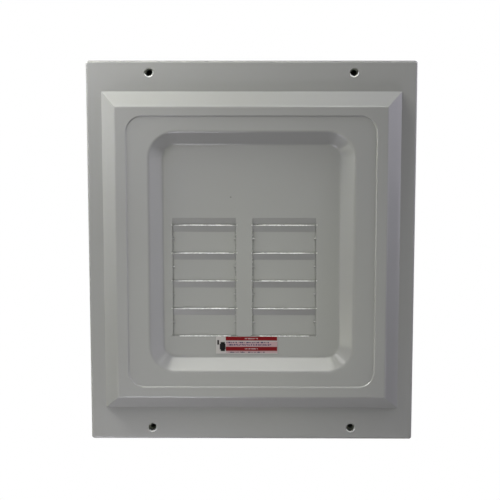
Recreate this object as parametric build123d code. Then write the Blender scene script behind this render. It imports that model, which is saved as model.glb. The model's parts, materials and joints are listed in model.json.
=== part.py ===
from build123d import *
import math
import os

os.makedirs("parts", exist_ok=True)

# A surface-mounted residential load center with eight breaker spaces. Millimetres.
# X to the right, Z up, the front faces -Y. The wall is the plane y = 0, and the
# origin is the centre of the four wall holes in the back of the box.

# Driving dimensions
PITCH = 25.4                # one breaker space
ROWS = 4
SHEET = 1.2                 # cover sheet
BOX_SHEET = 1.5
COVER_W, COVER_H = 294.0, 345.0
BOX_W, BOX_H, BOX_D = 290.0, 341.0, 90.0
RETURN = 8.0                # edge of the cover turned back over the box
SCREW_DX, SCREW_DZ = 182.0, 324.0
COVER_HOLE_R = 4.0
WALL_DX, WALL_DZ = 200.0, 260.0
WALL_HOLE_R = 3.25

# Drawn shape of the cover: half width, half height, centre height, corner radius, run, rise
RAISED = (133.5, 144.25, 1.25, 0.0, 12.5, 13.0)
STEP = (111.5, 123.0, 2.0, 15.0, 1.0, -1.0)
RECESS = (91.75, 109.0, 2.0, 24.0, 12.5, -9.0)
COVER_CORNER = 2.2
# Outside bend radii of the face: turned edge, top of the bevel, step, rim and floor
EDGE_BEND, TOP_BEND, STEP_BEND, RIM_BEND, FLOOR_BEND = 1.8, 2.0, 0.8, 5.0, 4.0

# Breaker window columns
BUS_X = -6.5                # centre line of the breakers
COL_IN, COL_OUT = 7.5, 64.5
ROW_TOP = 26.5              # upper edge of the first breaker space
SLOPE_H, DISH = 6.4, 1.4    # sloped upper strip of a twist-out and its depth
SHEAR = 0.3                 # width of a sheared gap
SLIT_RUN, SLIT_HALF = 1.3, 0.3   # how far a slit runs past a window, and half its width
LIP_R = 0.5                 # rounded upper lip of a twist-out
NIB_LENGTH, NIB_R = 1.8, 0.9
AXIS_DEPTH = 1.0            # twist axis behind the face of the cover

# Labels: range in x and z, or in z and level, and thickness
HAZARD_X, HAZARD_Z = (-32.2, 23.6), (-91.5, -75.8)
RATING_Z, RATING_LEVEL = (-40.0, 50.0), (20.0, 75.0)
LABEL_T = 0.3

# Levels, as distances in front of the wall
FLANGE = BOX_D + SHEET
FIELD = FLANGE + RAISED[5] + STEP[5] + RECESS[5]
TAB_FACE = 82.0
PAN_FACE = 14.0
BUS_FACE = 33.0
BACK_IN = BOX_SHEET         # inside of the back
NEUTRAL_BASE, GROUND_BASE = 22.0, 4.5   # back of each terminal bar

# Box: pilot holes, pan bosses, and the tabs for the cover screws
PILOT_R = 2.1
BOSS_R = 9.0
TAB_HALF_W, TAB_REACH, TAB_TIP_R, TAB_LEG = 9.0, 8.0, 6.0, 14.0
COLLAR_R, COLLAR_H, THREAD_R = 4.4, 2.0, 2.45
TIE_HALF = 1.0              # half width of a knockout tie

# Interior
RAIL_X = 80.0               # breaker rail from the bus centre line
RAIL_LEVEL = 36.0
PAN_Z = (-98.0, 106.0)      # lower and upper end of the pan
RIVET_Z = (-80.0, 0.0, 62.0, 96.0)
RAIL_FOOT, RIVET_IN = 13.5, 8.0   # width of the foot, and rivets from its outer edge
HOOK_W, HOOK_HALF, HOOK_LIP = 9.0, 9.0, 5.0
RIVET_R, RIVET_SHANK_R, RIVET_H = 3.6, 1.9, 1.2
BASE_HALF_W, BASE_Z = 40.0, (-94.0, 94.0)
BARRIER_HALF = 1.2
BAR_IN, BAR_OUT = 16.0, 28.0
LUG_DX, LUG_Z = 26.0, 76.0
LUG_BORE_R, LUG_SCREW_R = 6.8, 6.0
LUG_W, LUG_L, LUG_H, LUG_FLOOR = 19.0, 28.0, 26.0, 3.0
STAB_HALF_W, STAB_HALF_T, STAB_TIP = 11.0, 1.2, 54.0
NEUTRAL_X, GROUND_X = 108.0, -116.0
NEUTRAL_Z, GROUND_Z = (-84.0, 99.0), (-88.0, 28.0)
NEUTRAL_LUG_Z = 84.0
BAR_SIDE = 12.0             # terminal bars are square
TERMINAL_PITCH = 9.0
WIRE_R, WIRE_DEPTH = 2.7, 5.0
BINDING_R, BINDING_HEAD_R, BINDING_HEAD_H = 2.1, 3.6, 3.2
BONDING_Z = -76.0

FRONT = Plane(origin=(0, 0, 0), x_dir=(1, 0, 0), z_dir=(0, -1, 0))


def at(level):
    """Sketch plane at a level in front of the wall, looking from the front."""
    return FRONT.offset(level)


def block(x0, x1, z0, z1, level0, level1):
    """Box between two x, two z and two levels."""
    size = (abs(x1 - x0), abs(level1 - level0), abs(z1 - z0))
    centre = ((x0 + x1) / 2, -(level0 + level1) / 2, (z0 + z1) / 2)
    return Pos(*centre) * Box(*size)


def post(x, z, radius, level0, level1):
    """Cylinder along Y between two levels."""
    return Pos(x, -(level0 + level1) / 2, z) * Rot(90, 0, 0) * Cylinder(radius, abs(level1 - level0))


def rod_x(x0, x1, z, level, radius):
    """Cylinder along X."""
    return Pos((x0 + x1) / 2, -level, z) * Rot(0, 90, 0) * Cylinder(radius, abs(x1 - x0))


def rod_z(x, z0, z1, level, radius):
    """Cylinder along Z."""
    return Pos(x, -level, (z0 + z1) / 2) * Cylinder(radius, abs(z1 - z0))


def save(name, *solids):
    """Write one node, whose solids stay separate."""
    shape = solids[0] if len(solids) == 1 else Compound(children=list(solids))
    shape.label = name
    export_step(shape, f"parts/{name}.step")


def corners(dx, dz):
    """The four corners of a centred rectangle."""
    return [(sx * dx / 2, sz * dz / 2) for sx in (-1, 1) for sz in (-1, 1)]


# ---------------------------------------------------------------- cover
def drawn_feature(feature, base, sheet):
    """Tapered solid of one drawn feature, seen at a depth of sheet behind the face."""
    half_w, half_h, centre, radius, run, rise = feature
    length = math.hypot(run, rise)
    shift = sheet * (length - run) / abs(rise)
    grow = -shift if rise > 0 else shift
    level = base - sheet
    with BuildSketch(at(level)) as outline:
        with Locations((0, centre)):
            if radius:
                RectangleRounded(2 * (half_w + grow), 2 * (half_h + grow), radius + grow)
            else:
                Rectangle(2 * (half_w + grow), 2 * (half_h + grow))
    angle = math.degrees(math.atan2(run, abs(rise)))
    return extrude(outline.sketch, amount=rise, taper=angle)


def off_outline(point, half_w, half_h, centre, radius):
    """Distance of a point from a rounded rectangle, in the plane of the cover."""
    x, z = abs(point.X), abs(point.Z - centre)
    over_x, over_z = x - half_w + radius, z - half_h + radius
    if over_x > 0 and over_z > 0:
        return abs(math.hypot(over_x, over_z) - radius)
    return abs(max(x - half_w, z - half_h))


def bend(form, level, outline, radius):
    """Round the fold that follows an outline at one level."""
    fold = []
    for edge in form.edges():
        points = [edge.position_at(t) for t in (0, 0.5, 1)]
        flat = all(abs(point.Y + level) < 0.01 for point in points)
        if flat and off_outline(points[1], *outline) < 0.7:
            fold.append(edge)
    return fillet(fold, radius) if radius > 0.2 else form


def inner_outline(feature):
    """Outline of a drawn feature at the end of its slope."""
    half_w, half_h, centre, radius, run, _ = feature
    return half_w - run, half_h - run, centre, max(radius - run, 0)


def cover_form(sheet):
    """Solid under the face of the cover, or under its inner face when sheet is its thickness."""
    edge = 2 * sheet
    back = BOX_D - RETURN - (20 if sheet else 0)
    with BuildSketch(at(back)) as outline:
        RectangleRounded(COVER_W - edge, COVER_H - edge, COVER_CORNER - sheet)
    form = extrude(outline.sketch, amount=FLANGE - sheet - back)
    form += drawn_feature(RAISED, FLANGE, sheet)
    plateau = FLANGE + RAISED[5]
    land = plateau + STEP[5]
    form -= drawn_feature(STEP, plateau, sheet)
    form -= drawn_feature(RECESS, land, sheet)
    rim = (COVER_W / 2 - sheet, COVER_H / 2 - sheet, 0, COVER_CORNER - sheet)
    form = bend(form, FLANGE - sheet, rim, EDGE_BEND - sheet)
    form = bend(form, plateau - sheet, inner_outline(RAISED), TOP_BEND - sheet)
    form = bend(form, plateau - sheet, STEP[:4], STEP_BEND - sheet)
    form = bend(form, land - sheet, inner_outline(STEP), STEP_BEND + sheet)
    form = bend(form, land - sheet, RECESS[:4], RIM_BEND - sheet)
    return bend(form, FIELD - sheet, inner_outline(RECESS), FLOOR_BEND + sheet)


def column_edges(side):
    """Inner and outer x of a column of breaker windows, left to right."""
    ends = (BUS_X + side * COL_IN, BUS_X + side * COL_OUT)
    return min(ends), max(ends)


def row_top(row):
    """Height of the upper edge of a breaker space, counted from the top."""
    return ROW_TOP - row * PITCH


def folded_plate(top, fold, bottom, x0, x1):
    """Sheet that slopes back from the face of the cover down to a fold, then runs flat."""
    front = [(FIELD, top), (FIELD - DISH, fold)]
    if bottom < fold:
        front.append((FIELD - DISH, bottom))
    back = [(level - SHEET, z) for level, z in reversed(front)]
    with BuildSketch(Plane(origin=(x1, 0, 0), x_dir=(0, -1, 0), z_dir=(-1, 0, 0))) as section:
        with BuildLine():
            Polyline(*front, *back, close=True)
        make_face()
    return extrude(section.sketch, amount=x1 - x0)


def top_strip(x0, x1):
    """Fixed strip over the first space, bent back from the face of the cover."""
    edge = ROW_TOP + SHEAR / 2
    return folded_plate(ROW_TOP + SLOPE_H, edge, edge, x0, x1)


def cover():
    """Drawn cover with its turned edge, screw holes and two columns of windows."""
    part = cover_form(0) - cover_form(SHEET)
    for x, z in corners(SCREW_DX, SCREW_DZ):
        part -= post(x, z, COVER_HOLE_R, FLANGE - 5, FLANGE + 5)
    bottom = row_top(ROWS)
    for side in (-1, 1):
        x0, x1 = column_edges(side)
        part -= block(x0, x1, bottom, ROW_TOP + SLOPE_H, FIELD - 6, FIELD + 2)
        part += top_strip(x0, x1)
        for row in range(ROWS + 1):
            z = row_top(row)
            part -= block(x0 - SLIT_RUN, x0, z - SLIT_HALF, z + SLIT_HALF, FIELD - 6, FIELD + 2)
            part -= block(x1, x1 + SLIT_RUN, z - SLIT_HALF, z + SLIT_HALF, FIELD - 6, FIELD + 2)
    return part


def twist_out(side, row):
    """One break-out plate, held at the middle of both ends by a nib."""
    x0, x1 = column_edges(side)
    top = row_top(row) - SHEAR / 2
    bottom = row_top(row + 1) + SHEAR / 2
    plate = folded_plate(top, top - SLOPE_H, bottom, x0 + SHEAR, x1 - SHEAR)
    lip = plate.edges().filter_by(Axis.X).group_by(Axis.Z)[-1].sort_by(Axis.Y)[0]
    plate = fillet(lip, LIP_R)
    middle = row_top(row) - PITCH / 2
    for end, inner in ((x0, x0 + NIB_LENGTH), (x1, x1 - NIB_LENGTH)):
        plate += rod_x(end, inner, middle, FIELD - AXIS_DEPTH, NIB_R)
    return plate


def hazard_label():
    """Blank stick-on label under the windows."""
    return block(*HAZARD_X, *HAZARD_Z, FIELD, FIELD + LABEL_T)


# ---------------------------------------------------------------- box
def knockouts():
    """Knockout places by wall: centre along the wall, level or height, radii of its rings."""
    small, medium, large = (11.1,), (14.1, 11.1), (21.85, 17.3, 14.1)
    end_row = [(-95, 42, medium), (-50, 42, small), (0, 42, large), (50, 42, small), (95, 42, medium)]
    side_column = [(125, 45, medium), (85, 45, small), (-85, 45, small), (-125, 45, medium)]
    back_row = [(-55, 145, small), (0, 140, medium), (55, 145, small)]
    return {"top": end_row, "bottom": end_row, "left": side_column, "right": side_column, "back": back_row}


def wall_skins(wall):
    """Inner and outer face of a wall that has knockouts."""
    outer = {"top": BOX_H / 2, "bottom": -BOX_H / 2, "right": BOX_W / 2, "left": -BOX_W / 2}[wall]
    return outer - math.copysign(BOX_SHEET, outer), outer


def knockout_disc(wall, along, second, radius):
    """Disc through the thickness of a wall."""
    if wall == "back":
        return post(along, second, radius, 0, BOX_SHEET)
    inner, outer = wall_skins(wall)
    if wall in ("top", "bottom"):
        return rod_z(along, inner, outer, second, radius)
    return rod_x(inner, outer, along, second, radius)


def knockout_ties(wall, along, second, radius, turned):
    """Bar through the thickness of a wall that leaves two ties across a sheared gap."""
    half_a, half_b = (TIE_HALF, radius + 2) if turned else (radius + 2, TIE_HALF)
    if wall == "back":
        return block(along - half_a, along + half_a, second - half_b, second + half_b, 0, BOX_SHEET)
    inner, outer = wall_skins(wall)
    if wall in ("top", "bottom"):
        return block(along - half_a, along + half_a, inner, outer, second - half_b, second + half_b)
    return block(inner, outer, along - half_a, along + half_a, second - half_b, second + half_b)


def knockout_slugs(wall, along, second, radii):
    """Slug and rings of one knockout, each still tied at two points."""
    slugs = []
    for place, radius in enumerate(radii):
        hole = knockout_disc(wall, along, second, radius)
        slug = knockout_disc(wall, along, second, radius - SHEAR)
        slug += knockout_ties(wall, along, second, radius, place % 2) & hole
        if place + 1 < len(radii):
            slug -= knockout_disc(wall, along, second, radii[place + 1])
        slugs.append(slug)
    return slugs


def screw_tab(x, z):
    """Tab welded inside an end wall, with a drawn and tapped collar for a cover screw."""
    inward = -math.copysign(1, z)
    wall = math.copysign(BOX_H / 2 - BOX_SHEET, z)
    x0, x1 = x - TAB_HALF_W, x + TAB_HALF_W
    tab = block(x0, x1, wall, z + inward * TAB_REACH, TAB_FACE, TAB_FACE - BOX_SHEET)
    edges = tab.edges().filter_by(Axis.Y).group_by(Axis.Z)[0 if inward < 0 else -1]
    tab = fillet(edges, TAB_TIP_R)
    tab += block(x0, x1, wall, wall + inward * BOX_SHEET, TAB_FACE, TAB_FACE - TAB_LEG)
    tab += post(x, z, COLLAR_R, TAB_FACE - 2 * COLLAR_H, TAB_FACE + COLLAR_H)
    return tab - post(x, z, THREAD_R, TAB_FACE - 6, TAB_FACE + 4)


def standoff(x, z, top):
    """Hollow boss drawn forward from the back of the box, with a screw hole."""
    boss = post(x, z, BOSS_R, BACK_IN, top) - post(x, z, BOSS_R - BOX_SHEET, 0, top - BOX_SHEET)
    return boss - post(x, z, PILOT_R, 0, top + 1)


def pan_fixing_points():
    """Where the interior pan is screwed to the bosses of the box."""
    return [(BUS_X + sx * 60, z) for sx in (-1, 1) for z in (-88, 96)]


def ground_fixing_points():
    """Screws near both ends of the ground bar."""
    return [(GROUND_X, z) for z in (-82, 22)]


def neutral_fixing_points():
    """Screws of the two posts under the neutral bar."""
    return [(NEUTRAL_X, z) for z in (-60, 60)]


def pierced(plate, wall):
    """Plate with the knockout holes of its wall."""
    for along, second, radii in knockouts()[wall]:
        plate -= knockout_disc(wall, along, second, radii[0])
    return plate


def box_back():
    """Back plate with drawn bosses for the pan, wall holes and pilot holes."""
    half_w, half_h = BOX_W / 2, BOX_H / 2
    plate = block(-half_w, half_w, -half_h, half_h, 0, BOX_SHEET)
    plate = fillet(plate.edges().filter_by(Axis.Y), BOX_SHEET)
    for x, z in pan_fixing_points():
        plate -= post(x, z, BOSS_R - BOX_SHEET, 0, BOX_SHEET)
        plate += standoff(x, z, PAN_FACE - BOX_SHEET)
    for x, z in corners(WALL_DX, WALL_DZ):
        plate -= post(x, z, WALL_HOLE_R, 0, BOX_SHEET)
    for x, z in ground_fixing_points() + neutral_fixing_points() + [bonding_point()]:
        plate -= post(x, z, PILOT_R, 0, BOX_SHEET)
    return pierced(plate, "back")


def box_side(wall):
    """Side plate, as high as the box."""
    inner, outer = wall_skins(wall)
    plate = block(inner, outer, -BOX_H / 2, BOX_H / 2, BOX_SHEET, BOX_D)
    corner = plate.edges().filter_by(Axis.Y).group_by(Axis.X)[0 if wall == "left" else -1]
    return pierced(fillet(corner, BOX_SHEET - 0.05), wall)


def box_end(wall):
    """End plate between the sides."""
    inner, outer = wall_skins(wall)
    half_w = BOX_W / 2 - BOX_SHEET
    return pierced(block(-half_w, half_w, inner, outer, BOX_SHEET, BOX_D), wall)


def screw_tabs():
    """The four tabs that take the cover screws."""
    return [screw_tab(x, z) for x, z in corners(SCREW_DX, SCREW_DZ)]


# ---------------------------------------------------------------- interior
def rail_edges(side):
    """Outer and inner x of the upright of a breaker rail."""
    outer = BUS_X + side * RAIL_X
    return outer, outer - side * BOX_SHEET


def interior_pan():
    """Flat plated pan that carries the base and the two breaker rails."""
    pan = block(BUS_X - RAIL_X, BUS_X + RAIL_X, *PAN_Z, PAN_FACE, PAN_FACE - BOX_SHEET)
    for x, z in pan_fixing_points():
        pan -= post(x, z, 2.6, PAN_FACE - 3, PAN_FACE + 1)
    for z in (-60, -10, 40):
        for side in (-1, 1):
            pan -= post(BUS_X + side * (RAIL_X - 28), z, 4, PAN_FACE - 3, PAN_FACE + 1)
    return pan


def breaker_rail(side):
    """Angle riveted to the pan, with a hooked finger for every breaker."""
    z0, z1 = PAN_Z
    outer, inner = rail_edges(side)
    rail = block(outer, inner, z0, z1, PAN_FACE, RAIL_LEVEL)
    rail += block(outer, outer - side * RAIL_FOOT, z0, z1, PAN_FACE, PAN_FACE + BOX_SHEET)
    tip = outer - side * HOOK_W
    for row in range(ROWS):
        middle = row_top(row) - PITCH / 2
        low, high = middle - HOOK_HALF, middle + HOOK_HALF
        rail += block(outer, tip, low, high, RAIL_LEVEL, RAIL_LEVEL - BOX_SHEET)
        rail += block(tip + side * BOX_SHEET, tip, low, high, RAIL_LEVEL, RAIL_LEVEL - HOOK_LIP)
    for z in RIVET_Z:
        rail -= post(outer - side * RIVET_IN, z, RIVET_SHANK_R + 0.1, PAN_FACE - 1, PAN_FACE + 3)
    return rail


def rail_rivets():
    """Rivets that hold both rails to the pan."""
    rivets = []
    for side in (-1, 1):
        x = BUS_X + side * (RAIL_X - RIVET_IN)
        seat = PAN_FACE + BOX_SHEET
        for z in RIVET_Z:
            head = post(x, z, RIVET_R, seat, seat + RIVET_H)
            head = fillet(head.edges().filter_by(GeomType.CIRCLE).group_by(Axis.Y)[0], RIVET_H * 0.7)
            rivets.append(head + post(x, z, RIVET_SHANK_R, PAN_FACE, seat))
    return rivets


def insulating_base():
    """Moulded base with troughs for the bus bars and barriers between the stabs."""
    z0, z1 = BASE_Z
    base = block(BUS_X - BASE_HALF_W, BUS_X + BASE_HALF_W, z0, z1, PAN_FACE, BUS_FACE - 3)
    base = fillet(base.edges().filter_by(Axis.Y), 4)
    base -= block(BUS_X - 9, BUS_X + 9, z0 + 20, 34, PAN_FACE + 6, BUS_FACE)
    for side in (-1, 1):
        x = BUS_X + side * 34
        base -= block(x - 3.5, x + 3.5, z0 + 8, z1 - 8, PAN_FACE + 5, BUS_FACE)
    for row in range(ROWS + 1):
        z = row_top(row)
        low, high = z - BARRIER_HALF, z + BARRIER_HALF
        base += block(BUS_X - 12, BUS_X + 12, low, high, PAN_FACE + 6, 48)
        for side in (-1, 1):
            x = BUS_X + side * 35
            base += block(x - 5, x + 5, low, high, PAN_FACE + 2, 40)
    base += block(BUS_X - 1.5, BUS_X + 1.5, 58, z1, BUS_FACE - 4, 60)
    for x, z in bus_screw_points():
        base -= post(x, z, 2.0, PAN_FACE, BUS_FACE)
    for x, z in base_screw_points():
        base -= post(x, z, 2.6, PAN_FACE - 1, BUS_FACE)
        base -= post(x, z, 5.0, PAN_FACE + 8, BUS_FACE)
    return base


def bus_screw_points():
    """Screws that hold the two bus bars to the base."""
    return [(BUS_X + side * (BAR_IN + BAR_OUT) / 2, z) for side in (-1, 1) for z in (-72, 47)]


def base_screw_points():
    """Screws that hold the base to the pan."""
    return [(BUS_X, -86), (BUS_X, 44)]


def bus_bar(side):
    """Plated bar with a stab in every second space; side -1 is line A, 1 is line B."""
    z0, z1 = -78, LUG_Z + 15
    x0, x1 = BUS_X + side * BAR_IN, BUS_X + side * BAR_OUT
    bar = block(x0, x1, z0, z1, BUS_FACE - 3, BUS_FACE)
    pad_in, pad_out = BUS_X + side * (LUG_DX - 9), BUS_X + side * (LUG_DX + 9)
    bar += block(pad_in, pad_out, LUG_Z - 15, z1, BUS_FACE - 3, BUS_FACE)
    for row in range(0 if side < 0 else 1, ROWS, 2):
        z = row_top(row) - PITCH / 2
        bar += block(x0, BUS_X - side * STAB_HALF_W, z - 6, z + 6, BUS_FACE - 3, BUS_FACE)
        stab = block(BUS_X - STAB_HALF_W, BUS_X + STAB_HALF_W, z - STAB_HALF_T, z + STAB_HALF_T,
                     BUS_FACE, STAB_TIP)
        tips = stab.edges().filter_by(Axis.Z).group_by(Axis.Y)[0]
        bar += chamfer(tips, 4)
    for x, z in bus_screw_points():
        bar -= post(x, z, 2.6, BUS_FACE - 4, BUS_FACE + 1)
    bar -= post(BUS_X + side * LUG_DX, LUG_Z, 3.4, BUS_FACE - 4, BUS_FACE + 1)
    return bar


def lug(x, z, base_level):
    """Set-screw lug for one conductor that enters from above."""
    top = base_level + LUG_H
    body = block(x - LUG_W / 2, x + LUG_W / 2, z - LUG_L / 2, z + LUG_L / 2, base_level, top)
    body = fillet(body.edges().filter_by(Axis.Z).group_by(Axis.Y)[0], 3)
    bore_level = base_level + LUG_FLOOR + LUG_BORE_R
    body -= rod_z(x, z - LUG_L, z + LUG_L, bore_level, LUG_BORE_R)
    return body - post(x, z, LUG_SCREW_R + 0.3, bore_level, top + 1)


def lug_screw(x, z, base_level):
    """Hex-socket set screw, backed out so that the bore is open."""
    tip = base_level + LUG_FLOOR + 2 * LUG_BORE_R + 0.3
    screw = post(x, z, LUG_SCREW_R, tip, tip + 13)
    ends = screw.edges().filter_by(GeomType.CIRCLE)
    screw = chamfer(ends, 0.8)
    with BuildSketch(at(tip + 7)) as socket:
        with Locations((x, z)):
            RegularPolygon(3.0, 6, major_radius=False)
    return screw - extrude(socket.sketch, amount=10)


def pan_head(x, z, seat, radius, shank_radius, length):
    """Slotted pan-head screw whose head sits on a level and whose shank goes back."""
    head_h = radius * 0.62
    head = post(x, z, radius, seat, seat + head_h)
    head = fillet(head.edges().filter_by(GeomType.CIRCLE).group_by(Axis.Y)[0], head_h * 0.55)
    screw = head + post(x, z, shank_radius, seat, seat - length)
    cut = radius * 1.1
    return screw - block(x - cut, x + cut, z - 0.5, z + 0.5, seat + head_h * 0.45, seat + head_h + 1)


def bus_fixings():
    """Screws through the bus bars into the base."""
    return [pan_head(x, z, BUS_FACE, 4.6, 1.9, 14) for x, z in bus_screw_points()]


def base_fixings():
    """Screws through the base into the pan."""
    return [pan_head(x, z, PAN_FACE + 8, 4.4, 2.4, 8) for x, z in base_screw_points()]


def pan_fixings():
    """Screws through the pan into the bosses of the box."""
    return [pan_head(x, z, PAN_FACE, 5.2, 2.0, 6) for x, z in pan_fixing_points()]


# ---------------------------------------------------------------- neutral and ground
def neutral_terminals():
    """Heights of the eleven terminals of the neutral bar."""
    return [-45 + TERMINAL_PITCH * i for i in range(11)]


def ground_terminals():
    """Heights of the nine terminals of the ground bar."""
    return [-70 + TERMINAL_PITCH * i for i in range(9)]


def bonding_point():
    """Where the bonding screw goes through the neutral bar."""
    return (NEUTRAL_X, BONDING_Z)


def terminal_bar(x, z0, z1, base_level, heights):
    """Square bar with a wire hole and a tapped screw hole for every terminal."""
    half = BAR_SIDE / 2
    bar = block(x - half, x + half, z0, z1, base_level, base_level + BAR_SIDE)
    bar = chamfer(bar.edges().filter_by(Axis.Z), 0.8)
    for z in heights:
        bar -= rod_x(x - half - 1, x + half + 1, z, base_level + WIRE_DEPTH, WIRE_R)
        bar -= post(x, z, BINDING_R + 0.3, base_level + WIRE_DEPTH, base_level + BAR_SIDE + 1)
    return bar


def terminal_screws(x, heights, base_level):
    """Slotted binding screws of a terminal bar, backed out of the wire holes."""
    top = base_level + BAR_SIDE
    screws = []
    for z in heights:
        screw = post(x, z, BINDING_R, base_level + WIRE_DEPTH + 3, top)
        screw += post(x, z, BINDING_HEAD_R, top, top + BINDING_HEAD_H)
        screw -= block(x - 4, x + 4, z - 0.6, z + 0.6, top + 1.4, top + 4)
        screws.append(screw)
    return screws


def neutral_bar():
    """Neutral bar on two insulating posts, with a pad for its lug."""
    top = NEUTRAL_BASE + BAR_SIDE
    bar = terminal_bar(NEUTRAL_X, *NEUTRAL_Z, NEUTRAL_BASE, neutral_terminals())
    bar += block(NEUTRAL_X - 9, NEUTRAL_X + 9, NEUTRAL_LUG_Z - 15, NEUTRAL_LUG_Z + 15, top - 3, top)
    for x, z in neutral_fixing_points() + [bonding_point()]:
        bar -= post(x, z, 2.6, NEUTRAL_BASE - 1, top + 1)
    return bar


def neutral_posts():
    """Insulating posts under the neutral bar."""
    posts = []
    for x, z in neutral_fixing_points():
        foot = post(x, z, 10, BACK_IN, BACK_IN + 4)
        shaft = post(x, z, 7, BACK_IN + 4, NEUTRAL_BASE)
        posts.append(foot + shaft - post(x, z, 2.4, 0, NEUTRAL_BASE + 1))
    return posts


def neutral_fixings():
    """Long screws through the neutral bar and its posts into the box."""
    top = NEUTRAL_BASE + BAR_SIDE
    return [pan_head(x, z, top, 4.4, 2.0, top - 0.3) for x, z in neutral_fixing_points()]


def bonding_screw():
    """Long screw that bonds the neutral bar to the box."""
    x, z = bonding_point()
    top = NEUTRAL_BASE + BAR_SIDE
    return pan_head(x, z, top, 5.4, 2.0, top - 0.3)


def ground_bar():
    """Ground bar on two short feet against the back of the box."""
    bar = terminal_bar(GROUND_X, *GROUND_Z, GROUND_BASE, ground_terminals())
    for x, z in ground_fixing_points():
        bar += block(x - 6, x + 6, z - 5, z + 5, BACK_IN, GROUND_BASE)
        bar -= post(x, z, 2.6, 0, GROUND_BASE + BAR_SIDE + 1)
    return bar


def ground_fixings():
    """Screws that hold the ground bar to the box."""
    top = GROUND_BASE + BAR_SIDE
    return [pan_head(x, z, top, 4.4, 2.0, top - 0.3) for x, z in ground_fixing_points()]


def rating_label():
    """Blank paper label inside the left wall."""
    wall = -BOX_W / 2 + BOX_SHEET
    return block(wall, wall + LABEL_T, *RATING_Z, *RATING_LEVEL)


# ---------------------------------------------------------------- nodes
def build():
    save("box_back", box_back())
    for wall in ("left", "right"):
        save(f"box_side_{wall}", box_side(wall))
    for wall in ("top", "bottom"):
        save(f"box_end_{wall}", box_end(wall))
    save("screw_tabs", *screw_tabs())
    for wall, places in knockouts().items():
        slugs = [slug for place in places for slug in knockout_slugs(wall, *place)]
        save(f"knockouts_{wall}", *slugs)
    save("cover", cover())
    for side, name in ((-1, "left"), (1, "right")):
        for row in range(ROWS):
            save(f"twist_out_{name}_{row + 1}", twist_out(side, row))
    save("hazard_label", hazard_label())
    save("rating_label", rating_label())
    save("interior_pan", interior_pan())
    save("breaker_rail_left", breaker_rail(-1))
    save("breaker_rail_right", breaker_rail(1))
    save("rail_rivets", *rail_rivets())
    save("insulating_base", insulating_base())
    for side, line in ((-1, "a"), (1, "b")):
        x = BUS_X + side * LUG_DX
        save(f"bus_bar_{line}", bus_bar(side))
        save(f"line_lug_{line}", lug(x, LUG_Z, BUS_FACE))
        save(f"line_lug_{line}_screw", lug_screw(x, LUG_Z, BUS_FACE))
    save("bus_fixing_screws", *bus_fixings())
    save("base_fixing_screws", *base_fixings())
    save("pan_fixing_screws", *pan_fixings())
    neutral_top = NEUTRAL_BASE + BAR_SIDE
    save("neutral_bar", neutral_bar())
    save("neutral_posts", *neutral_posts())
    save("neutral_lug", lug(NEUTRAL_X, NEUTRAL_LUG_Z, neutral_top))
    save("neutral_lug_screw", lug_screw(NEUTRAL_X, NEUTRAL_LUG_Z, neutral_top))
    save("neutral_terminal_screws", *terminal_screws(NEUTRAL_X, neutral_terminals(), NEUTRAL_BASE))
    save("neutral_fixing_screws", *neutral_fixings())
    save("bonding_screw", bonding_screw())
    save("ground_bar", ground_bar())
    save("ground_terminal_screws", *terminal_screws(GROUND_X, ground_terminals(), GROUND_BASE))
    save("ground_fixing_screws", *ground_fixings())


build()
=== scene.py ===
"""Looks of the load center: materials, small details, soft light and the camera."""

import json
import math
import random

import bmesh
import bpy
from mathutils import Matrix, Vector


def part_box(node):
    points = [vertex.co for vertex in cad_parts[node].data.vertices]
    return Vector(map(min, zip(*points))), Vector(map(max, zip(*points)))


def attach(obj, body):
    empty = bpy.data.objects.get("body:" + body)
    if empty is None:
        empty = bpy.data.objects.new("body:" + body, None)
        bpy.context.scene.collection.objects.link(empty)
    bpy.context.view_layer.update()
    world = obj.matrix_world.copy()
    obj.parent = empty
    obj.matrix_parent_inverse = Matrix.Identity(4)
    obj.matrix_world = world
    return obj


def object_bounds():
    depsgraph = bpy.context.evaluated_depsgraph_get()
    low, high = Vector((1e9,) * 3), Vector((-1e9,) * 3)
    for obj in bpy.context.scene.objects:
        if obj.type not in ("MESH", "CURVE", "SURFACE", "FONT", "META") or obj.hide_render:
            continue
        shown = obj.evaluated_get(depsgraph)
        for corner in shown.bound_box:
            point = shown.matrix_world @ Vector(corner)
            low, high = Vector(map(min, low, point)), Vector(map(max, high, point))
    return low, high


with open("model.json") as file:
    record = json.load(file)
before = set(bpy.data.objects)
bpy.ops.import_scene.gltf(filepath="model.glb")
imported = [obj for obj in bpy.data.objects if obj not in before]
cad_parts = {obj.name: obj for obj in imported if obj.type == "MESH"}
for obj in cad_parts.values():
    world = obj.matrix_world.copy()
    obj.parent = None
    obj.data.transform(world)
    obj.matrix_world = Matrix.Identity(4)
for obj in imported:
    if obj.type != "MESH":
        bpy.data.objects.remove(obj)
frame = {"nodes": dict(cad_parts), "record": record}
cad_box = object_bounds()
nodes = frame["nodes"]
MM = 0.001

# ---------------------------------------------------------------- settings, in metres
# Camera: where it stands, how it is turned, and its lens
CAMERA_AT = (0.01213, -1.3412, 0.19285)
CAMERA_TURN = (81.378, 0.0103, 0.6159)
LENS = 100.90
SENSOR = 36.0

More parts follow.
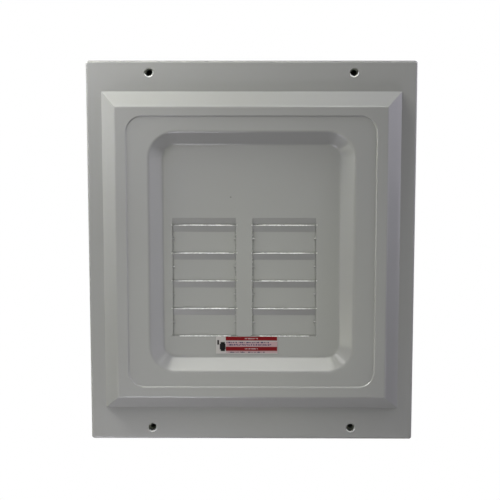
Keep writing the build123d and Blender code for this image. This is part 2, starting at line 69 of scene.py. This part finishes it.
# Soft lights: place, the point each faces, width and height, watts and colour
LIGHTS = [
    ((0.0, -1.12, 1.47), (0.0, -0.09, 0.0), (1.1, 0.7), 8.5, (0.99, 1.0, 0.93)),
    ((1.8, -0.4, 0.3), (0.0, -0.09, 0.0), (1.2, 1.2), 7.6, (0.93, 0.88, 1.0)),
    ((-0.52, -0.18, 0.53), (0.0, -0.09, 0.0), (0.18, 0.18), 3.74, (0.97, 1.0, 0.86)),
    ((1.63, -0.68, -0.47), (0.0, -0.09, 0.0), (0.9, 0.9), 2.2, (0.93, 0.95, 1.0)),
    ((0.52, -0.18, 0.53), (0.0, -0.09, 0.0), (0.18, 0.18), 1.49, (0.79, 0.8, 1.0)),
    ((0.0, -1.83, -0.47), (0.0, -0.09, 0.0), (0.9, 0.9), 1.4, (0.96, 0.96, 1.0)),
    ((-0.25, -0.3, 0.4), (-0.1, -0.1, 0.16), (0.12, 0.12), 0.81, (0.97, 1.0, 0.86)),
    ((-0.15, -0.42, -0.42), (-0.15, -0.1, -0.12), (0.25, 0.08), 0.75, (0.94, 0.92, 1.0)),
    ((-0.34, -0.24, 0.25), (-0.14, -0.1, 0.1), (0.12, 0.12), 0.4, (0.79, 0.76, 1.0)),
    ((0.0, -0.81, -0.19), (0.0, -0.09, 0.0), (0.35, 0.35), 0.22, (0.88, 1.0, 0.56)),
    ((-0.34, -0.24, -0.2), (-0.14, -0.1, -0.08), (0.12, 0.12), 0.09, (0.98, 1.0, 0.79)),
    # small, for the glints in the corners of the recess
    ((1.4, -1.0, 1.0), (0.0, -0.09, 0.0), (0.16, 0.16), 1.6, (1.0, 1.0, 0.97)),
    ((-1.4, -1.0, 1.0), (0.0, -0.09, 0.0), (0.16, 0.16), 2.2, (1.0, 1.0, 0.97)),
    # behind the object, for views of its sides and back
    ((-1.2, 1.1, 0.9), (0, 0, 0), (1.0, 1.0), 16.0, (1.0, 1.0, 1.0)),
    ((1.3, 1.0, 0.5), (0, 0, 0), (1.0, 1.0), 12.0, (1.0, 1.0, 1.0)),
]
WORLD_LIGHT = 0.02
FLOOR_SIZE, FLOOR_DROP = 4.0, 1.2

# Paint
COVER_TONE, BOX_TONE = 0.30, 0.27
COVER_ROUGHNESS, BOX_ROUGHNESS = 0.23, 0.45
COVER_SPECULAR = 0.6
SCUFF, SCUFF_R, SCUFF_SOFT = (-0.0186, 0.0516), 0.0006, 0.0004

# Burrs along the plates: radius, run past a plate at each slit, gap at the ends, share of the radius sunk in
BURR_R, SLIT_RUN, BURR_IN, BURR_SINK = 0.00056, 0.0013, 0.0003, 0.4
# Pale edges of the screw holes, also a painted highlight on their lower part: radius, and where the lit arc
# starts and ends in degrees
EDGE_R, GLINT_ARC_FROM, GLINT_ARC_TO = 0.0006, 190, 380
# Beads that both are made of: length of one step, and number of sides
BEAD_STEP, BEAD_SIDES = 0.0007, 6

# Print on the hazard label: left, right, bottom and top as shares of the label
PINK_FIELD = (0.165, 1.0, 0.04, 0.70)
RED_BARS = ((0.158, 0.995, 0.765, 1.0), (0.158, 0.995, 0.16, 0.4))
DASH_ROWS = ((0.18, 0.9, 0.47, 0.56), (0.17, 0.86, 0.61, 0.69), (0.2, 0.8, 0.05, 0.11))
BAR_DASHES = ((0.47, 0.68, 0.85, 0.92), (0.47, 0.68, 0.25, 0.32))
SYMBOL = ((0.075, 0.145, 0.14, 0.68), (0.06, 0.155, 0.24, 0.58), (0.02, 0.05, 0.52, 0.8))
PRINT_SOFT, DASH_SOFT, SYMBOL_SOFT = 0.00015, 0.0001, 0.0004

# Ruled table on the rating label
TABLE_ROWS, TABLE_COLUMNS = 9, (0.08, 0.55, 0.92)
LINE_HALF, TABLE_MARGIN = 0.0003, 0.004


# ---------------------------------------------------------------- node helpers
class Graph:
    """Small helper to build one node material."""

    def __init__(self, name, roughness=0.5, metallic=0.0, specular=0.5):
        self.material = bpy.data.materials.new(name)
        self.material.use_nodes = True
        self.tree = self.material.node_tree
        self.tree.nodes.clear()
        output = self.tree.nodes.new("ShaderNodeOutputMaterial")
        self.shader = self.tree.nodes.new("ShaderNodeBsdfPrincipled")
        self.shader.inputs["Roughness"].default_value = roughness
        self.shader.inputs["Metallic"].default_value = metallic
        self.shader.inputs["Specular IOR Level"].default_value = specular
        self.tree.links.new(self.shader.outputs[0], output.inputs[0])
        self.place = self.tree.nodes.new("ShaderNodeTexCoord").outputs["Object"]
        self.axes = None

    def put(self, socket, value):
        """Link a socket, or set a plain value."""
        if isinstance(value, bpy.types.NodeSocket):
            self.tree.links.new(value, socket)
        else:
            socket.default_value = value

    def axis(self, letter):
        """One coordinate in metres."""
        if self.axes is None:
            self.axes = self.tree.nodes.new("ShaderNodeSeparateXYZ")
            self.tree.links.new(self.place, self.axes.inputs[0])
        return self.axes.outputs[letter]

    def math(self, kind, a, b=0.0, clamp=False):
        n = self.tree.nodes.new("ShaderNodeMath")
        n.operation = kind
        n.use_clamp = clamp
        self.put(n.inputs[0], a)
        self.put(n.inputs[1], b)
        return n.outputs[0]

    def scaled(self, factors):
        """Coordinates stretched by three factors."""
        n = self.tree.nodes.new("ShaderNodeVectorMath")
        n.operation = "MULTIPLY"
        self.tree.links.new(self.place, n.inputs[0])
        n.inputs[1].default_value = factors
        return n.outputs[0]

    def noise(self, scale, detail=2.0, rough=0.5, where=None):
        n = self.tree.nodes.new("ShaderNodeTexNoise")
        self.tree.links.new(where or self.place, n.inputs["Vector"])
        n.inputs["Scale"].default_value = scale
        n.inputs["Detail"].default_value = detail
        n.inputs["Roughness"].default_value = rough
        return n.outputs["Fac"]

    def cells(self, scale):
        """Random value for each cell of a Voronoi pattern."""
        n = self.tree.nodes.new("ShaderNodeTexVoronoi")
        self.tree.links.new(self.place, n.inputs["Vector"])
        n.inputs["Scale"].default_value = scale
        parts = self.tree.nodes.new("ShaderNodeSeparateColor")
        self.tree.links.new(n.outputs["Color"], parts.inputs[0])
        return parts.outputs[0]

    def span(self, value, low, high, to_low=0.0, to_high=1.0):
        """Value mapped from one range to another, smoothly and clamped."""
        n = self.tree.nodes.new("ShaderNodeMapRange")
        n.interpolation_type = "SMOOTHSTEP"
        self.put(n.inputs["Value"], value)
        n.inputs["From Min"].default_value = low
        n.inputs["From Max"].default_value = high
        n.inputs["To Min"].default_value = to_low
        n.inputs["To Max"].default_value = to_high
        return n.outputs["Result"]

    def mix(self, share, a, b):
        n = self.tree.nodes.new("ShaderNodeMix")
        n.data_type = "RGBA"
        self.put(n.inputs["Factor"], share)
        self.put(n.inputs[6], a)
        self.put(n.inputs[7], b)
        return n.outputs[2]

    def tone(self, value, low, high, dark, light):
        """Colour between two greys or colours that follows a value."""
        return self.mix(self.span(value, low, high), (*dark, 1), (*light, 1))

    def inside(self, letter, low, high, soft=0.0001):
        """1 between two values of a coordinate."""
        rise = self.span(self.axis(letter), low - soft, low + soft)
        fall = self.span(self.axis(letter), high - soft, high + soft, 1.0, 0.0)
        return self.math("MULTIPLY", rise, fall)

    def rect(self, x0, x1, z0, z1, soft=0.0001):
        return self.math("MULTIPLY", self.inside("X", x0, x1, soft), self.inside("Z", z0, z1, soft))

    def colour(self, value):
        self.put(self.shader.inputs["Base Color"], value)

    def roughness(self, value):
        self.put(self.shader.inputs["Roughness"], value)

    def metal(self, value):
        self.put(self.shader.inputs["Metallic"], value)

    def bump(self, height, depth, strength=1.0):
        """Bump whose full height is depth in metres. Calls add up."""
        n = self.tree.nodes.new("ShaderNodeBump")
        n.inputs["Strength"].default_value = strength
        n.inputs["Distance"].default_value = depth
        self.tree.links.new(height, n.inputs["Height"])
        normal = self.shader.inputs["Normal"]
        if normal.is_linked:
            self.tree.links.new(normal.links[0].from_socket, n.inputs["Normal"])
        self.tree.links.new(n.outputs[0], normal)


def grey(value, warm=0.0):
    return (value * (1 + warm), value, value * (1 - warm))


def painted(name, tone, roughness, specular=0.5):
    """Sprayed enamel: orange peel, fine speckle and faint cloudiness."""
    g = Graph(name, roughness, specular=specular)
    cloud = g.noise(9.0, 3.0)
    speck = g.noise(1300.0, 1.0, 0.5)
    base = g.tone(cloud, 0.3, 0.7, grey(tone * 0.985, 0.008), grey(tone * 1.015, 0.004))
    shade = g.mix(g.span(speck, 0.2, 0.45, 0.06, 0.0), base, (*grey(tone * 0.72), 1))
    g.base = shade
    g.colour(shade)
    g.roughness(g.span(g.noise(25.0, 2.0), 0.25, 0.75, roughness - 0.02, roughness + 0.03))
    g.bump(g.noise(420.0, 1.0, 0.4), 0.00003, 0.3)
    return g


def brushed(name, light, dark, roughness, stretch, spangle=0.0):
    """Bare or plated metal with fine lines along one axis."""
    g = Graph(name, roughness, 1.0)
    lines = g.noise(1.0, 3.0, 0.6, g.scaled(stretch))
    stain = g.noise(45.0, 4.0, 0.55)
    metal = g.tone(lines, 0.3, 0.7, dark, light)
    metal = g.mix(g.span(stain, 0.52, 0.75, 0.0, 0.35), metal, (*(c * 0.72 for c in dark), 1))
    if spangle:
        metal = g.mix(g.math("MULTIPLY", g.cells(95.0), spangle), metal, (*(c * 0.8 for c in dark), 1))
    g.colour(metal)
    g.roughness(g.span(stain, 0.3, 0.7, roughness - 0.07, roughness + 0.12))
    g.bump(lines, 0.00003, 0.5)
    return g


def moulded(name, tone, roughness, warm=0.0):
    """Moulded plastic with a fine spark-eroded grain."""
    g = Graph(name, roughness)
    grain = g.noise(1500.0, 2.0, 0.6)
    cloud = g.noise(30.0, 3.0)
    g.colour(g.tone(cloud, 0.3, 0.7, grey(tone * 0.88, warm), grey(tone * 1.12, warm)))
    g.roughness(g.span(grain, 0.3, 0.7, roughness - 0.06, roughness + 0.08))
    g.bump(grain, 0.00005, 0.6)
    return g


def assign(name, graph):
    """Give a CAD node its material."""
    slots = nodes[name].material_slots
    for s in slots:
        s.material = graph.material
    if not slots:
        nodes[name].data.materials.append(graph.material)


# ---------------------------------------------------------------- finishes
cover_paint = painted("cover_enamel", COVER_TONE, COVER_ROUGHNESS, COVER_SPECULAR)
plate_paint = painted("plate_enamel", COVER_TONE, COVER_ROUGHNESS, COVER_SPECULAR)
box_paint = painted("box_enamel", BOX_TONE, BOX_ROUGHNESS)
pan_metal = brushed("pan_zinc_plate", (0.66, 0.67, 0.69), (0.5, 0.51, 0.53), 0.38, (900, 900, 40), 0.25)
screw_metal = brushed("screw_zinc_plate", (0.72, 0.71, 0.66), (0.5, 0.5, 0.47), 0.3, (500, 500, 500))
bus_metal = brushed("bus_tin_plate", (0.78, 0.77, 0.74), (0.62, 0.61, 0.59), 0.32, (700, 700, 50))
lug_metal = brushed("lug_aluminium", (0.74, 0.75, 0.76), (0.56, 0.57, 0.58), 0.36, (40, 1200, 1200))
bar_metal = brushed("bar_aluminium", (0.74, 0.75, 0.75), (0.58, 0.59, 0.6), 0.34, (1200, 1200, 30))
green_metal = brushed("green_zinc", (0.05, 0.36, 0.14), (0.03, 0.22, 0.09), 0.35, (500, 500, 500))
base_plastic = moulded("base_black", 0.02, 0.42)
post_plastic = moulded("post_ivory", 0.62, 0.4, 0.03)

# one small scuff in the paint above the windows
scuff_x, scuff_z = SCUFF
spot = cover_paint.rect(
    scuff_x - SCUFF_R, scuff_x + SCUFF_R, scuff_z - SCUFF_R, scuff_z + SCUFF_R, SCUFF_SOFT)
scuffed = cover_paint.math("MULTIPLY", spot, 0.5)
cover_paint.colour(cover_paint.mix(scuffed, cover_paint.base, (0.05, 0.05, 0.05, 1)))


def hazard_print():
    """Generic caution film: two red bars, rows of short dashes and a plain dark shape; no lettering."""
    lo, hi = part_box("hazard_label")
    w, h = hi.x - lo.x, hi.z - lo.z

    def area(g, x0, x1, z0, z1, soft=PRINT_SOFT):
        return g.rect(lo.x + x0 * w, lo.x + x1 * w, lo.z + z0 * h, lo.z + z1 * h, soft)

    g = Graph("hazard_film", 0.4, specular=0.15)
    white, pink = (0.44, 0.42, 0.41, 1), (0.42, 0.29, 0.3, 1)
    red, ink = (0.17, 0.002, 0.006, 1), (0.004, 0.004, 0.005, 1)
    print_noise = g.noise(900.0, 2.0, 0.6)
    colour = g.mix(g.span(print_noise, 0.3, 0.7, 0.0, 0.12), white, (0.36, 0.35, 0.34, 1))
    colour = g.mix(area(g, *PINK_FIELD), colour, pink)
    for bar in RED_BARS:
        colour = g.mix(area(g, *bar), colour, red)
    dash = g.noise(1.0, 0.0, 0.5, g.scaled((1500.0, 1.0, 350.0)))
    dashes = g.span(dash, 0.42, 0.52)
    for rows, tint in ((DASH_ROWS, (0.06, 0.05, 0.1, 1)), (BAR_DASHES, pink)):
        for row in rows:
            colour = g.mix(g.math("MULTIPLY", area(g, *row, DASH_SOFT), dashes), colour, tint)
    for shape in SYMBOL:
        colour = g.mix(area(g, *shape, SYMBOL_SOFT), colour, ink)
    g.colour(colour)
    g.roughness(g.span(print_noise, 0.3, 0.7, 0.32, 0.45))
    g.bump(g.noise(300.0, 2.0), 0.00003, 0.4)
    return g


def rating_print():
    """Plain paper with a generic ruled table."""
    lo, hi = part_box("rating_label")
    g = Graph("rating_paper", 0.6)
    fibre = g.noise(1200.0, 3.0, 0.6)
    colour = g.tone(fibre, 0.3, 0.7, (0.72, 0.71, 0.67), (0.82, 0.81, 0.77))
    ink = (0.12, 0.12, 0.13, 1)
    step = (hi.z - lo.z) / TABLE_ROWS
    for i in range(1, TABLE_ROWS):
        z = lo.z + i * step
        across = g.inside("Y", lo.y + TABLE_MARGIN, hi.y - TABLE_MARGIN)
        ruled = g.math("MULTIPLY", g.inside("Z", z - LINE_HALF, z + LINE_HALF), across)
        colour = g.mix(ruled, colour, ink)
    for share in TABLE_COLUMNS:
        y = lo.y + share * (hi.y - lo.y)
        upright = g.inside("Z", lo.z + step, hi.z - step)
        ruled = g.math("MULTIPLY", g.inside("Y", y - LINE_HALF, y + LINE_HALF), upright)
        colour = g.mix(ruled, colour, ink)
    g.colour(colour)
    g.bump(fibre, 0.00004, 0.5)
    return g


FINISH = {
    "cover_paint": cover_paint, "plate_paint": plate_paint, "box_paint": box_paint,
    "pan_zinc": pan_metal, "base_plastic": base_plastic, "post_plastic": post_plastic,
    "bus_plate": bus_metal, "lug_metal": lug_metal, "bar_metal": bar_metal,
    "screw_zinc": screw_metal, "bonding_green": green_metal,
    "hazard_print": hazard_print(), "rating_print": rating_print(),
}
for part in frame["record"]["subparts"]:
    assign(part["node"], FINISH[part["material_slot"]])
# Screw tabs in bare steel, made near white so that the collars seen through the cover holes show a painted
# highlight
tab_metal_and_highlight = brushed("tab_bare_steel_and_highlight", (0.9, 0.9, 0.88), (0.78, 0.78, 0.76), 0.5, (600, 600, 600))
tab_metal_and_highlight.metal(0.25)
assign("screw_tabs", tab_metal_and_highlight)


# ---------------------------------------------------------------- pieces
def mesh_piece(name, bm, graph, body):
    """Turn a bmesh into a piece that rides on a body."""
    mesh = bpy.data.meshes.new(name)
    bm.normal_update()
    bm.to_mesh(mesh)
    bm.free()
    for face in mesh.polygons:
        face.use_smooth = True
    piece = bpy.data.objects.new(name, mesh)
    bpy.context.scene.collection.objects.link(piece)
    mesh.materials.append(graph.material)
    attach(piece, body)
    return piece


def bead(bm, rng, length, place, radius):
    """Closed irregular bead, like the burr of a shear.

    place(share) gives a point and a sideways direction.
    """
    count = max(3, int(length / BEAD_STEP))
    rings = []
    swell = 1.0
    for i in range(count + 1):
        share = i / count
        taper = min(1.0, 6 * share, 6 * (1 - share)) * 0.8 + 0.2
        swell = 0.7 * swell + 0.3 * rng.uniform(0.6, 1.25)
        r = radius * taper * swell
        point, sideways = place(share)
        point = point + rng.uniform(-0.1, 0.1) * radius * sideways
        ring = []
        for k in range(BEAD_SIDES):
            a = 2 * math.pi * k / BEAD_SIDES
            ring.append(bm.verts.new(point + r * math.cos(a) * sideways + Vector((0, r * math.sin(a), 0))))
        rings.append(ring)
    for near, far in zip(rings, rings[1:]):
        for k in range(BEAD_SIDES):
            after = (k + 1) % BEAD_SIDES
            bm.faces.new((near[k], near[after], far[after], far[k]))
    bm.faces.new(rings[0][::-1])
    bm.faces.new(rings[-1])


def run(bm, rng, x0, x1, y, z, radius):
    """Bead along X."""
    bead(bm, rng, x1 - x0, lambda t: (Vector((x0 + t * (x1 - x0), y, z)), Vector((0, 0, 1))), radius)


def arc(bm, rng, centre, around, start, end, radius):
    """Bead along part of a circle that faces the front; angles in degrees from +X."""
    def place(t):
        a = math.radians(start + t * (end - start))
        outward = Vector((math.cos(a), 0, math.sin(a)))
        return centre + around * outward, outward

    bead(bm, rng, around * math.radians(end - start), place, radius)


# Pale bare metal of the sheared edges, made near white so that the beads also carry a painted highlight
# along each edge
burr_and_highlight = Graph("sheared_edge_and_highlight", 0.4)
chips = burr_and_highlight.noise(450.0, 2.0, 0.6)
burr_and_highlight.colour(burr_and_highlight.tone(chips, 0.3, 0.6, (0.62, 0.62, 0.61), (0.93, 0.93, 0.92)))
burr_and_highlight.bump(chips, 0.00004, 0.5)

rng = random.Random(7)
for side in ("left", "right"):
    for row in range(1, 5):
        lo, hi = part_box(f"twist_out_{side}_{row}")
        bm = bmesh.new()
        y, z = lo.y + BURR_R * BURR_SINK, hi.z - BURR_R * BURR_SINK
        run(bm, rng, lo.x + BURR_IN, hi.x - BURR_IN, y, z, BURR_R)
        mesh_piece(f"burr_{side}_{row}", bm, burr_and_highlight, f"plate_{side}_{row}")
    bm = bmesh.new()
    for row in range(1, 5):
        lo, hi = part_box(f"twist_out_{side}_{row}")
        run(bm, rng, lo.x - SLIT_RUN, lo.x, lo.y + BURR_R * 0.5, hi.z, BURR_R * 0.8)
        run(bm, rng, hi.x, hi.x + SLIT_RUN, lo.y + BURR_R * 0.5, hi.z, BURR_R * 0.8)
    y, z = lo.y + BURR_R * BURR_SINK, lo.z - BURR_R * 0.8
    run(bm, rng, lo.x - SLIT_RUN, hi.x + SLIT_RUN, y, z, BURR_R * 0.9)
    mesh_piece(f"burr_{side}_window", bm, burr_and_highlight, "front_cover")


# pale bead around the lower part of each cover screw hole, like a bare punched edge; it stands in for the
# lit crescent in the hole, a painted highlight
holes = next(m for m in frame["record"]["mounts"] if m["name"] == "cover_screw_holes")
dims = holes["dims"]
half_x, half_z = dims["spacing_x_mm"] * MM / 2, dims["spacing_y_mm"] * MM / 2
hole_r = dims["hole_r_mm"] * MM
bm = bmesh.new()
for sx in (-1, 1):
    for sz in (-1, 1):
        centre = Vector(holes["pos_m"]) + Vector((sx * half_x, EDGE_R * 0.3, sz * half_z))
        arc(bm, rng, centre, hole_r - EDGE_R * 0.5, GLINT_ARC_FROM, GLINT_ARC_TO, EDGE_R)
mesh_piece("screw_hole_edges_and_glints", bm, burr_and_highlight, "front_cover")


# ---------------------------------------------------------------- stage, light, camera
def pale_floor():
    """Pale floor that is plain white to the camera, so that its edge does not show."""
    bm = bmesh.new()
    bmesh.ops.create_grid(bm, x_segments=8, y_segments=8, size=FLOOR_SIZE / 2)
    mesh = bpy.data.meshes.new("floor")
    bm.to_mesh(mesh)
    bm.free()
    floor = bpy.data.objects.new("floor", mesh)
    bpy.context.scene.collection.objects.link(floor)
    floor.location.z = cad_box[0].z - FLOOR_DROP
    g = Graph("pale_floor", 0.7)
    shade = g.tone(g.noise(3.0, 3.0), 0.3, 0.7, (0.8, 0.8, 0.8), (0.84, 0.84, 0.84))
    g.colour(shade)
    ray = g.tree.nodes.new("ShaderNodeLightPath")
    g.put(g.shader.inputs["Emission Color"], (1, 1, 1, 1))
    g.put(g.shader.inputs["Emission Strength"], ray.outputs["Is Camera Ray"])
    mesh.materials.append(g.material)


def soft_lights():
    for i, (place, target, size, watts, colour) in enumerate(LIGHTS):
        data = bpy.data.lights.new(f"soft_{i}", "AREA")
        data.shape = "ELLIPSE"
        data.size, data.size_y = size
        data.energy = watts
        data.color = colour
        lamp = bpy.data.objects.new(f"soft_{i}", data)
        bpy.context.scene.collection.objects.link(lamp)
        lamp.location = place
        lamp.rotation_euler = (Vector(target) - Vector(place)).to_track_quat("-Z", "Y").to_euler()


def white_world():
    """White behind the object, and a weaker even light on it."""
    world = bpy.data.worlds.new("studio")
    bpy.context.scene.world = world
    world.use_nodes = True
    tree = world.node_tree
    tree.nodes.clear()
    output = tree.nodes.new("ShaderNodeOutputWorld")
    blend = tree.nodes.new("ShaderNodeMixShader")
    ray = tree.nodes.new("ShaderNodeLightPath")
    for place, strength in ((1, WORLD_LIGHT), (2, 1.0)):
        sky = tree.nodes.new("ShaderNodeBackground")
        sky.inputs["Color"].default_value = (1, 1, 1, 1)
        sky.inputs["Strength"].default_value = strength
        tree.links.new(sky.outputs[0], blend.inputs[place])
    tree.links.new(ray.outputs["Is Camera Ray"], blend.inputs[0])
    tree.links.new(blend.outputs[0], output.inputs[0])


def photo_camera():
    data = bpy.data.cameras.new("camera")
    data.lens = LENS
    data.sensor_width = SENSOR
    data.clip_start = 0.05
    camera = bpy.data.objects.new("camera", data)
    bpy.context.scene.collection.objects.link(camera)
    camera.location = CAMERA_AT
    camera.rotation_euler = [math.radians(a) for a in CAMERA_TURN]
    bpy.context.scene.camera = camera


pale_floor()
soft_lights()
white_world()
photo_camera()
bpy.context.scene.view_settings.view_transform = "Standard"
